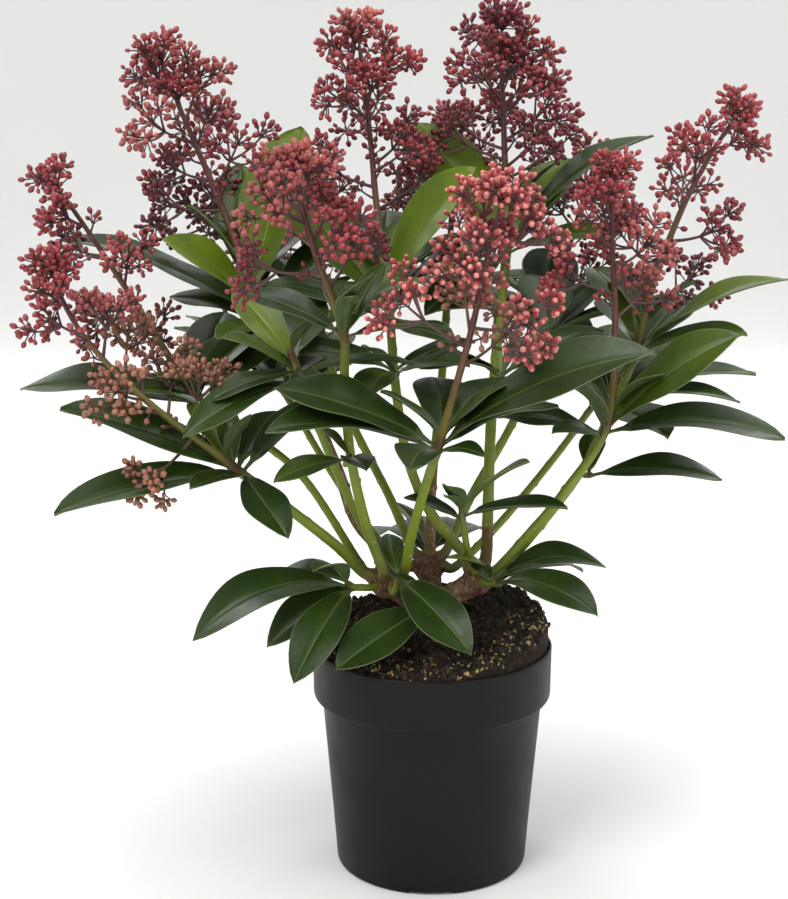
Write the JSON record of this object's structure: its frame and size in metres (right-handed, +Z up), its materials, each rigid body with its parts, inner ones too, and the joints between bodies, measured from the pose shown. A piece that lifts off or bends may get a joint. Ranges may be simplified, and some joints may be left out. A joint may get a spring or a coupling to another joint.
{
  "type": "potted flowering shrub",
  "caption": "Compact evergreen shrub with glossy leaves and branched heads of red buds, growing in a plain round nursery pot.",
  "frame": {"origin": "centre of the pot's flat underside, on the ground that the pot stands on", "axes": "+Z up along the pot's axis, -Y towards the side that the picture shows, +X to its right"},
  "size_m": [0.4097, 0.3121, 0.4621],
  "materials": {
    "bough_back": "smooth young bark",
    "bough_back_left": "smooth young bark",
    "bough_back_low_left": "smooth young bark",
    "bough_back_low_right": "smooth young bark",
    "bough_back_right": "smooth young bark",
    "bough_centre": "smooth young bark",
    "bough_front": "smooth young bark",
    "bough_front_left": "smooth young bark",
    "bough_left": "smooth young bark",
    "bough_left_high": "smooth young bark",
    "bough_left_low": "smooth young bark",
    "bough_mid_left": "smooth young bark",
    "bough_right": "smooth young bark",
    "bough_right_far": "smooth young bark",
    "bough_right_high": "smooth young bark",
    "head_back": "satin buds",
    "head_back_left": "satin buds",
    "head_back_right": "satin buds",
    "head_centre": "satin buds",
    "head_front": "satin buds",
    "head_front_left": "satin buds",
    "head_left": "satin buds",
    "head_left_high": "satin buds",
    "head_left_low": "satin buds",
    "head_right": "satin buds",
    "head_right_far": "satin buds",
    "head_right_high": "satin buds",
    "leaves_back": "glossy leaf",
    "leaves_back_left": "glossy leaf",
    "leaves_back_low_left": "glossy leaf",
    "leaves_back_low_right": "glossy leaf",
    "leaves_back_right": "glossy leaf",
    "leaves_basal_back": "glossy leaf",
    "leaves_basal_front": "glossy leaf",
    "leaves_basal_left": "glossy leaf",
    "leaves_basal_middle": "glossy leaf",
    "leaves_basal_right": "glossy leaf",
    "leaves_centre": "glossy leaf",
    "leaves_front": "glossy leaf",
    "leaves_front_left": "glossy leaf",
    "leaves_left": "glossy leaf",
    "leaves_left_high": "glossy leaf",
    "leaves_left_low": "glossy leaf",
    "leaves_mid_left": "glossy leaf",
    "leaves_right": "glossy leaf",
    "leaves_right_far": "glossy leaf",
    "leaves_right_high": "glossy leaf",
    "leaves_side_centre": "glossy leaf",
    "leaves_side_high": "glossy leaf",
    "leaves_side_left": "glossy leaf",
    "leaves_side_mid": "glossy leaf",
    "leaves_side_right": "glossy leaf",
    "limb_back": "rough bark",
    "limb_left": "rough bark",
    "limb_right": "rough bark",
    "pot": "matte",
    "soil": "rough",
    "trunk": "rough bark"
  },
  "bodies": {
    "root": {"bough_back": "bough_back", "bough_back_left": "bough_back_left", "bough_back_low_left": "bough_back_low_left", "bough_back_low_right": "bough_back_low_right", "bough_back_right": "bough_back_right", "bough_centre": "bough_centre", "bough_front": "bough_front", "bough_front_left": "bough_front_left", "bough_left": "bough_left", "bough_left_high": "bough_left_high", "bough_left_low": "bough_left_low", "bough_mid_left": "bough_mid_left", "bough_right": "bough_right", "bough_right_far": "bough_right_far", "bough_right_high": "bough_right_high", "head_back": "head_back", "head_back_left": "head_back_left", "head_back_right": "head_back_right", "head_centre": "head_centre", "head_front": "head_front", "head_front_left": "head_front_left", "head_left": "head_left", "head_left_high": "head_left_high", "head_left_low": "head_left_low", "head_right": "head_right", "head_right_far": "head_right_far", "head_right_high": "head_right_high", "leaves_back": "leaves_back", "leaves_back_left": "leaves_back_left", "leaves_back_low_left": "leaves_back_low_left", "leaves_back_low_right": "leaves_back_low_right", "leaves_back_right": "leaves_back_right", "leaves_basal_back": "leaves_basal_back", "leaves_basal_front": "leaves_basal_front", "leaves_basal_left": "leaves_basal_left", "leaves_basal_middle": "leaves_basal_middle", "leaves_basal_right": "leaves_basal_right", "leaves_centre": "leaves_centre", "leaves_front": "leaves_front", "leaves_front_left": "leaves_front_left", "leaves_left": "leaves_left", "leaves_left_high": "leaves_left_high", "leaves_left_low": "leaves_left_low", "leaves_mid_left": "leaves_mid_left", "leaves_right": "leaves_right", "leaves_right_far": "leaves_right_far", "leaves_right_high": "leaves_right_high", "leaves_side_centre": "leaves_side_centre", "leaves_side_high": "leaves_side_high", "leaves_side_left": "leaves_side_left", "leaves_side_mid": "leaves_side_mid", "leaves_side_right": "leaves_side_right", "limb_back": "limb_back", "limb_left": "limb_left", "limb_right": "limb_right", "pot": "pot", "soil": "soil", "trunk": "trunk"}
  },
  "joints": []
}
